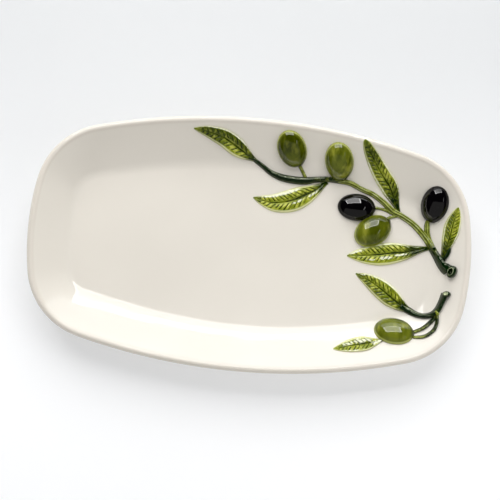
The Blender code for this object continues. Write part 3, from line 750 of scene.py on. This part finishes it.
def leaf_glaze():
    """Green brushed over cream: pale where it ran thin on raised edges, dark where it pooled, with painted
    highlights where it catches the light.
    """
    nodes = Nodes("leaf_glaze")
    brush = nodes.fit(nodes.noise(130.0, 3.0, 0.6), 0.35, 0.65)
    colour = nodes.mix(brush, linear(140, 150, 36), linear(96, 114, 16))
    thin = nodes.fit(nodes.noise(260.0, 3.0, 0.6), 0.42, 0.62, 0.0, 0.95)
    colour = nodes.mix(nodes.math("MULTIPLY", nodes.mark("crest"), thin), colour, linear(198, 200, 84))
    ragged = nodes.fit(nodes.noise(300.0, 3.0, 0.6), 0.3, 0.7, -0.2, 0.2)
    spread = nodes.math("ADD", nodes.mark("dark"), ragged)
    colour = nodes.mix(nodes.fit(spread, 0.15, 0.85), colour, linear(68, 80, 8))
    colour = nodes.mix(nodes.fit(spread, 0.75, 1.15), colour, linear(4, 26, 4))
    edge = nodes.math("MULTIPLY", nodes.mark("margin"), nodes.fit(nodes.mark("dark"), 0.3, 1.0, 1.0, 0.25))
    colour = nodes.mix(edge, colour, linear(232, 232, 178))
    thick = nodes.fit(nodes.noise(170.0, 2.0), 0.36, 0.60, 0.35, 1.0)
    cut = nodes.math("MULTIPLY", nodes.fit(nodes.mark("carve"), 0.2, 0.75, 0.0, 0.95), thick)
    colour = nodes.mix(cut, colour, linear(18, 34, 0))
    # Painted highlight: the pale patches, ragged with noise and kept out of the carved veins, mixed towards
    # near-white
    pale_share = nodes.fit(nodes.noise(380.0, 3.0, 0.6), 0.3, 0.7, -0.25, 0.25)
    painted_highlight = nodes.math("ADD", nodes.mark("pale"), pale_share)
    painted_highlight = nodes.math("MULTIPLY", nodes.fit(painted_highlight, 0.35, 0.75, 0.0, 0.92), nodes.fit(cut, 0.2, 0.8, 1.0, 0.25))
    colour = nodes.mix(painted_highlight, colour, linear(232, 234, 208))
    roughness = nodes.fit(nodes.noise(200.0, 3.0), 0.3, 0.7, 0.02, 0.06)
    nodes.bump(nodes.noise(420.0, 2.0), 0.12, 0.0003)
    return nodes.finish(colour, roughness, 1.5, (0.95, 1.0, 0.80, 1.0))


def green_olive_glaze():
    nodes = Nodes("green_olive_glaze")
    stroke = nodes.fit(nodes.noise(90.0, 3.0, 0.6, stretch=(1.0, 0.35, 1.0), turn=0.4), 0.35, 0.68)
    colour = nodes.mix(stroke, linear(50, 58, 0), linear(84, 92, 10))
    bright = nodes.mix(stroke, linear(88, 98, 18), linear(128, 136, 44))
    colour = nodes.mix(nodes.mark("light"), colour, bright)
    glow = nodes.fit(nodes.noise(150.0, 3.0, 0.6, stretch=(1.0, 0.3, 1.0), turn=-0.3), 0.5, 0.72, 0.0, 0.7)
    glow = nodes.math("MULTIPLY", glow, nodes.fit(nodes.mark("light"), 0.0, 0.3, 0.35, 1.0))
    colour = nodes.mix(glow, colour, linear(150, 152, 56))
    rise = nodes.mark("rise")
    # Painted light: the steep lower flank, which falls into shade, is painted lighter in two bands
    ring = nodes.math("MULTIPLY", nodes.fit(rise, 0.05, 0.08), nodes.fit(rise, 0.09, 0.17, 0.6, 0.0))
    colour = nodes.mix(ring, colour, linear(98, 106, 24))
    lip = nodes.fit(rise, 0.03, 0.08, 0.7, 0.0)
    colour = nodes.mix(lip, colour, linear(176, 182, 92))
    colour = nodes.mix(nodes.fit(nodes.mark("ends"), 0.72, 0.98, 0.0, 0.9), colour, linear(24, 30, 2))
    roughness = nodes.fit(nodes.noise(120.0, 2.0), 0.3, 0.7, 0.02, 0.05)
    nodes.bump(nodes.noise(180.0, 2.0), 0.15, 0.0004)
    return nodes.finish(colour, roughness, 1.62)


def black_olive_glaze():
    nodes = Nodes("black_olive_glaze")
    tone = nodes.fit(nodes.noise(120.0, 3.0, 0.6), 0.4, 0.7)
    colour = nodes.mix(tone, linear(4, 3, 5), linear(8, 6, 8))
    edge = nodes.fit(nodes.mark("rise"), 0.0, 0.05, 0.8, 0.0)
    colour = nodes.mix(edge, colour, linear(20, 16, 15))
    gloss = nodes.fit(nodes.mark("rise"), 0.02, 0.30, 0.12, 0.5)
    nodes.link(gloss, nodes.shader.inputs["Specular IOR Level"])
    roughness = nodes.fit(nodes.noise(120.0, 2.0), 0.3, 0.7, 0.02, 0.04)
    nodes.bump(nodes.noise(180.0, 2.0), 0.12, 0.0004)
    return nodes.finish(colour, roughness, 1.65)


def twig_glaze():
    """Dark green in the hollows and thin, light green on the ridges between them, with painted highlights
    along the lit edge of dark twigs and round the rims of the cut ends.
    """
    nodes = Nodes("twig_glaze")
    bark = nodes.fit(nodes.noise(260.0, 3.0, 0.6), 0.35, 0.7)
    dark = nodes.mix(bark, linear(0, 18, 2), linear(10, 38, 8))
    light = nodes.mix(bark, linear(128, 138, 44), linear(174, 182, 96))
    spread = nodes.math("ADD", nodes.mark("light"), nodes.fit(nodes.noise(340.0, 2.0), 0.3, 0.7, -0.15, 0.15))
    colour = nodes.mix(nodes.fit(spread, 0.1, 0.75), dark, light)
    colour = nodes.mix(nodes.fit(nodes.mark("groove_and_highlight"), 0.35, 0.9, 0.0, 0.85), colour, linear(6, 18, 0))
    # Pale where the glaze thins on the ridges, and painted highlight where the groove mark was lowered for it
    pale_share = nodes.math("MULTIPLY", nodes.fit(nodes.mark("groove_and_highlight"), 0.02, 0.20, 0.9, 0.0),
                      nodes.fit(nodes.noise(150.0, 3.0), 0.42, 0.60))
    colour = nodes.mix(pale_share, colour, linear(196, 204, 164))
    colour = nodes.mix(nodes.fit(nodes.mark("rim"), 0.5, 1.0, 0.0, 0.4), colour, linear(16, 28, 2))
    roughness = nodes.fit(nodes.noise(200.0, 3.0), 0.3, 0.7, 0.02, 0.06)
    nodes.bump(nodes.noise(420.0, 2.0), 0.12, 0.0003)
    return nodes.finish(colour, roughness, 1.5, (0.93, 1.0, 0.75, 1.0))


def floor_finish():
    """A pale sweep, painted lighter towards the front as light falling off, and glowing a little there, so
    shadows on it stay soft.
    """
    nodes = Nodes("pale_floor")
    split = nodes.new("ShaderNodeSeparateXYZ")
    nodes.link(nodes.place(), split.inputs["Vector"])
    cloud = nodes.fit(nodes.noise(2.0, 2.0), 0.3, 0.7, -0.02, 0.02)
    # Painted light fall-off: the colour darkens further back
    away = nodes.fit(nodes.math("ADD", split.outputs["Y"], cloud), -0.16, 0.24)
    colour = nodes.mix(away, linear(223, 224, 226), linear(197, 199, 201))
    glow = nodes.fit(split.outputs["Y"], -0.16, 0.24, 0.30, 0.10)
    nodes.link(glow, nodes.shader.inputs["Emission Strength"])
    nodes.shader.inputs["Emission Color"].default_value = linear(252, 253, 255)
    grain = nodes.fit(nodes.noise(90.0, 4.0), 0.3, 0.7, 0.5, 0.62)
    nodes.bump(nodes.noise(400.0, 2.0), 0.05, 0.0005)
    return nodes.finish(colour, grain)


# Studio

def add_floor():
    mesh = bpy.data.meshes.new("floor")
    reach = FLOOR_REACH
    corners = [(-reach, -reach), (reach, -reach), (reach, reach), (-reach, reach)]
    mesh.from_pydata([(x, y, -TABLE_GAP * MM) for x, y in corners], [], [(0, 1, 2, 3)])
    mesh.materials.append(floor_finish())
    floor = bpy.data.objects.new("floor", mesh)
    bpy.context.scene.collection.objects.link(floor)


def add_camera():
    """The dish is turned into the camera's axes, and the camera takes the reverse of that turn."""
    data = bpy.data.cameras.new("camera")
    data.lens = CAMERA_LENS
    data.sensor_width = 36.0
    data.clip_end = 20.0
    turn_y, turn_x, turn_z = (math.radians(value) for value in CAMERA_TURNS)
    turn = Matrix.Rotation(turn_y, 3, "Y") @ Matrix.Rotation(turn_x, 3, "X") @ Matrix.Rotation(turn_z, 3, "Z")
    back = turn.transposed()
    place = -(back @ Vector(CAMERA_OFFSET)) * MM + Vector((0.0, 0.0, LIP_CENTRE_Z * MM))
    camera = bpy.data.objects.new("camera", data)
    camera.matrix_world = Matrix.Translation(place) @ back.to_4x4()
    bpy.context.scene.collection.objects.link(camera)
    bpy.context.scene.camera = camera


def add_panel(name, values):
    """A soft rectangular light that faces the dish."""
    direction, distance, size, radiance, tint, rim, shows = values
    data = bpy.data.lights.new(name, "AREA")
    data.shape = "RECTANGLE"
    data.size, data.size_y = size
    data.energy = radiance * math.pi * size[0] * size[1]
    data.color = tint
    if rim:
        brighten_edge(data, rim)
    light = bpy.data.objects.new(name, data)
    out = Vector(direction).normalized()
    light.location = out * distance
    light.rotation_euler = out.to_track_quat("Z", "Y").to_euler()
    light.visible_glossy = shows
    bpy.context.scene.collection.objects.link(light)


def brighten_edge(data, rim):
    """The cloth of a softbox glows more along its edge."""
    data.use_nodes = True
    tree = data.node_tree
    place = tree.nodes.new("ShaderNodeNewGeometry").outputs["Parametric"]
    split = tree.nodes.new("ShaderNodeSeparateXYZ")
    tree.links.new(place, split.inputs["Vector"])
    reach = []
    for axis in ("X", "Y"):
        shift = tree.nodes.new("ShaderNodeMath")
        shift.operation = "SUBTRACT"
        shift.inputs[1].default_value = 0.5
        tree.links.new(split.outputs[axis], shift.inputs[0])
        size = tree.nodes.new("ShaderNodeMath")
        size.operation = "ABSOLUTE"
        tree.links.new(shift.outputs["Value"], size.inputs[0])
        reach.append(size.outputs["Value"])
    most = tree.nodes.new("ShaderNodeMath")
    most.operation = "MAXIMUM"
    tree.links.new(reach[0], most.inputs[0])
    tree.links.new(reach[1], most.inputs[1])
    ramp = tree.nodes.new("ShaderNodeMapRange")
    ramp.inputs["From Min"].default_value = 0.42
    ramp.inputs["From Max"].default_value = 0.46
    ramp.inputs["To Min"].default_value = 1.0
    ramp.inputs["To Max"].default_value = 1.0 + rim
    tree.links.new(most.outputs["Value"], ramp.inputs["Value"])
    tree.links.new(ramp.outputs["Result"], tree.nodes["Emission"].inputs["Strength"])


def add_sky():
    """Soft light from all round, weaker overhead, that doesn't show in the glaze."""
    world = bpy.data.worlds.new("studio")
    bpy.context.scene.world = world
    world.use_nodes = True
    world.cycles_visibility.glossy = False
    tree = world.node_tree
    back = tree.nodes["Background"]
    place = tree.nodes.new("ShaderNodeTexCoord")
    split = tree.nodes.new("ShaderNodeSeparateXYZ")
    ramp = tree.nodes.new("ShaderNodeValToRGB")
    tree.links.new(place.outputs["Generated"], split.inputs["Vector"])
    tree.links.new(split.outputs["Z"], ramp.inputs["Fac"])
    low, high = ramp.color_ramp.elements
    low.position, low.color = 0.1, (0.78, 0.78, 0.77, 1.0)
    high.position, high.color = 0.95, (0.24, 0.24, 0.24, 1.0)
    tree.links.new(ramp.outputs["Color"], back.inputs["Color"])
    back.inputs["Strength"].default_value = SKY_STRENGTH


def add_studio():
    add_floor()
    add_camera()
    for name, values in PANELS.items():
        add_panel(name, values)
    add_sky()
    bpy.context.scene.view_settings.view_transform = "Standard"


def main():
    make_dish(cream_glaze())
    leaf = leaf_glaze()
    for seed, name in enumerate(LEAVES):
        make_leaf(name, leaf, seed + 3)
    glazes = {"green_olive_glaze": green_olive_glaze(), "black_olive_glaze": black_olive_glaze()}
    for name, values in OLIVES.items():
        slot = "black_olive_glaze" if "black" in name else "green_olive_glaze"
        make_olive(name, values, glazes[slot])
    twig = twig_glaze()
    for seed, (name, points) in enumerate(TWIGS.items()):
        make_twig(name, points, twig, float(seed))
    for name, values in BUTTONS.items():
        make_button(name, values, twig)
    add_studio()


main()
